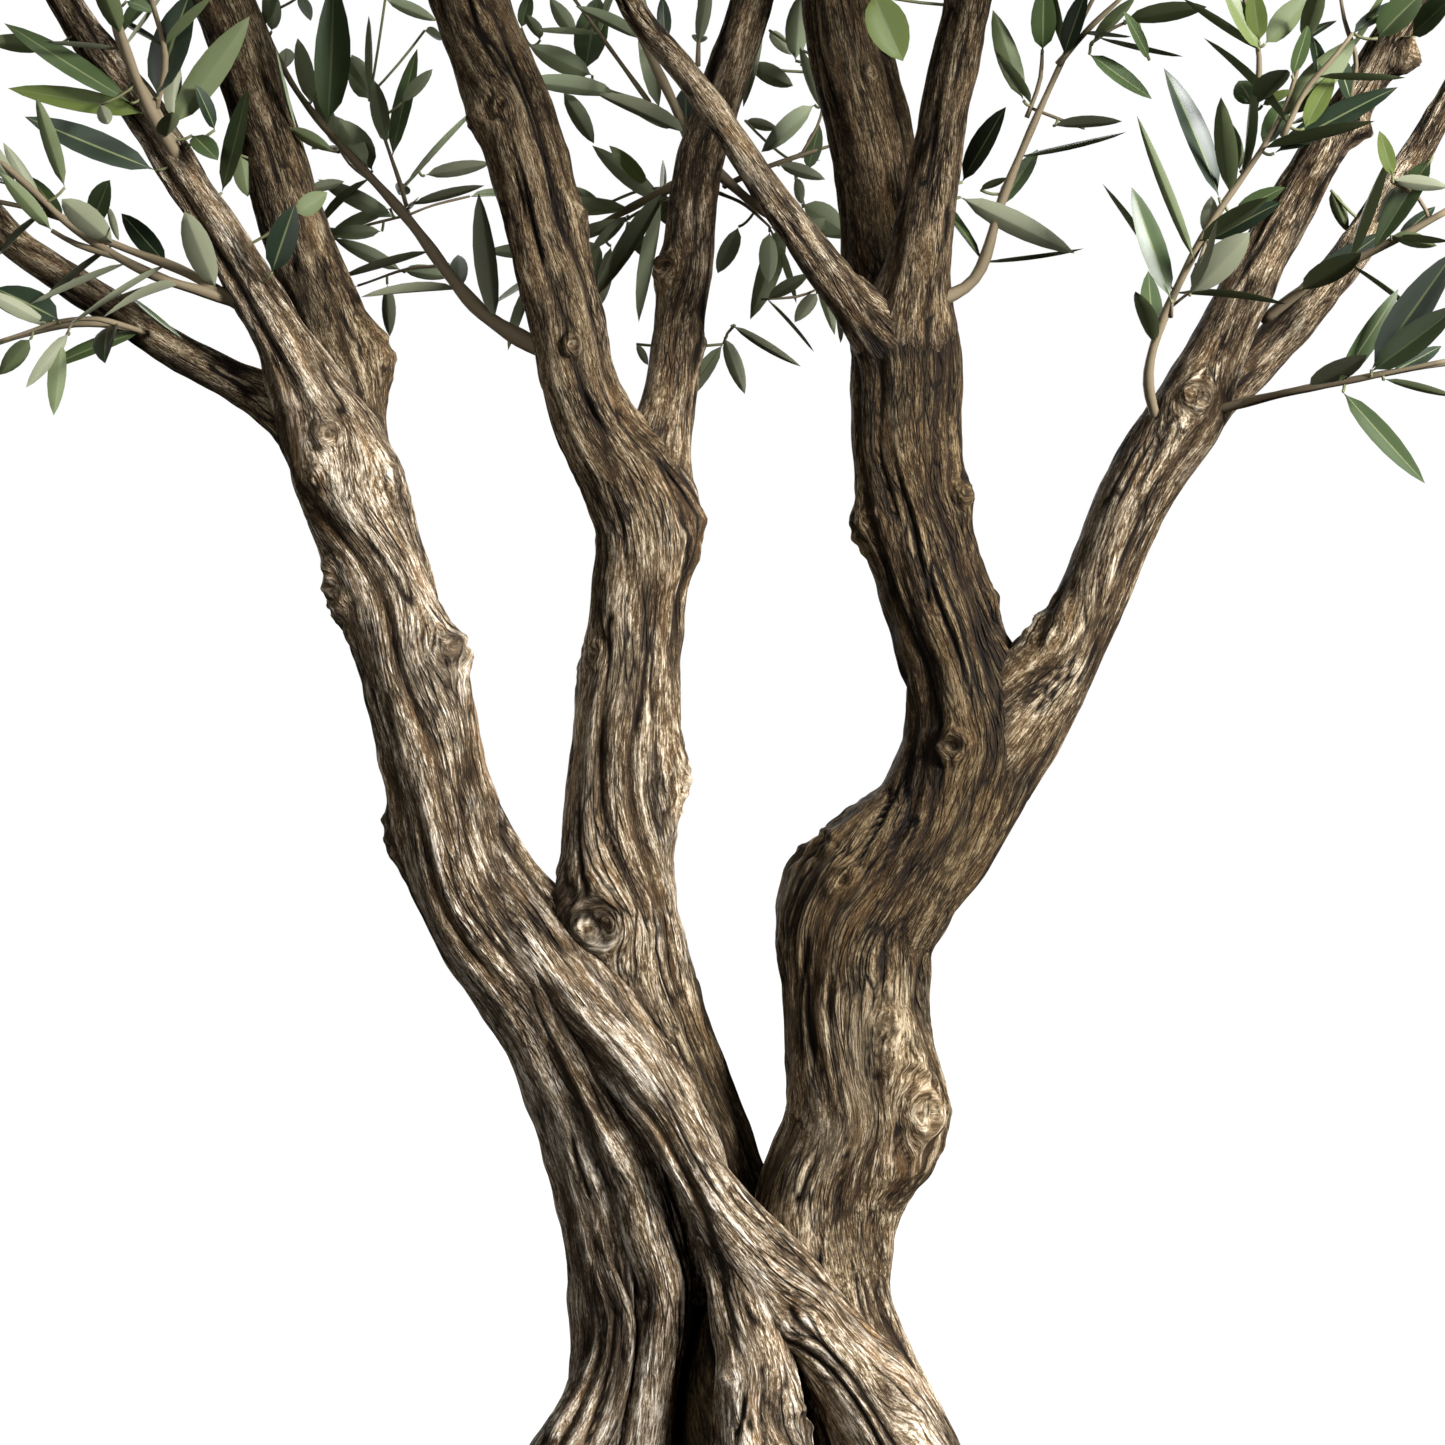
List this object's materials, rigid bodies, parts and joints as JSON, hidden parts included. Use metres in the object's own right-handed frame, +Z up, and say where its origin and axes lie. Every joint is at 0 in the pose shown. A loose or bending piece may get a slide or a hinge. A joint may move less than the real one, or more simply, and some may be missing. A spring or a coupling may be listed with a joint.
{
  "type": "olive tree",
  "caption": "Small olive tree with a twisted foot of fused strands, leaning stems, spreading boughs and a round open crown of narrow leaves.",
  "frame": {"origin": "on the flat cut under the trunk at ground level, near the middle of the foot", "axes": "+Z up along the tree, -Y out of the front that the picture shows, +X to the right seen from the front"},
  "size_m": [1.5646, 1.5501, 2.0043],
  "materials": {
    "bark": "rough, furrowed olive bark in grey-brown with tan ridges and near-black cracks",
    "bough_bark": "finer grey-brown bark with long shallow cracks and small knots",
    "foliage": "leathery leaves, dark green and half gloss above, pale grey-green and dull below, on grey-green twigs"
  },
  "bodies": {
    "root": {"trunk": "bark", "double_stem": "bark", "left_stem": "bark", "middle_stem": "bark", "right_stem_lower": "bark", "right_stem_upper": "bark", "left_back_bough": "bough_bark", "left_front_bough": "bough_bark", "left_side_bough": "bough_bark", "middle_front_bough": "bough_bark", "middle_back_bough": "bough_bark", "right_back_bough": "bough_bark", "right_front_bough": "bough_bark", "crossing_bough": "bough_bark", "outer_right_bough": "bough_bark", "outer_back_bough": "bough_bark", "left_back_upper_bough": "bough_bark", "left_front_upper_bough": "bough_bark", "left_rear_bough": "bough_bark", "middle_high_bough": "bough_bark", "middle_forward_bough": "bough_bark", "rear_upper_bough": "bough_bark", "right_rear_bough": "bough_bark", "right_upper_bough": "bough_bark", "right_high_bough": "bough_bark", "left_high_bough": "bough_bark", "right_forward_bough": "bough_bark", "outer_upper_bough": "bough_bark", "left_back_foliage": "foliage", "left_front_foliage": "foliage", "left_side_foliage": "foliage", "middle_front_foliage": "foliage", "middle_back_foliage": "foliage", "right_back_foliage": "foliage", "right_front_foliage": "foliage", "crossing_foliage": "foliage", "outer_right_foliage": "foliage", "outer_back_foliage": "foliage", "left_back_upper_foliage": "foliage", "left_front_upper_foliage": "foliage", "left_rear_foliage": "foliage", "middle_high_foliage": "foliage", "middle_forward_foliage": "foliage", "rear_upper_foliage": "foliage", "right_rear_foliage": "foliage", "right_upper_foliage": "foliage", "right_high_foliage": "foliage", "left_high_foliage": "foliage", "right_forward_foliage": "foliage", "outer_upper_foliage": "foliage", "left_front_spray": "foliage", "left_tip_spray": "foliage", "left_hanging_spray": "foliage", "left_inner_spray": "foliage", "inner_spray": "foliage", "rear_spray": "foliage", "right_inner_spray": "foliage", "outer_spray": "foliage", "outer_low_spray": "foliage"}
  },
  "joints": []
}
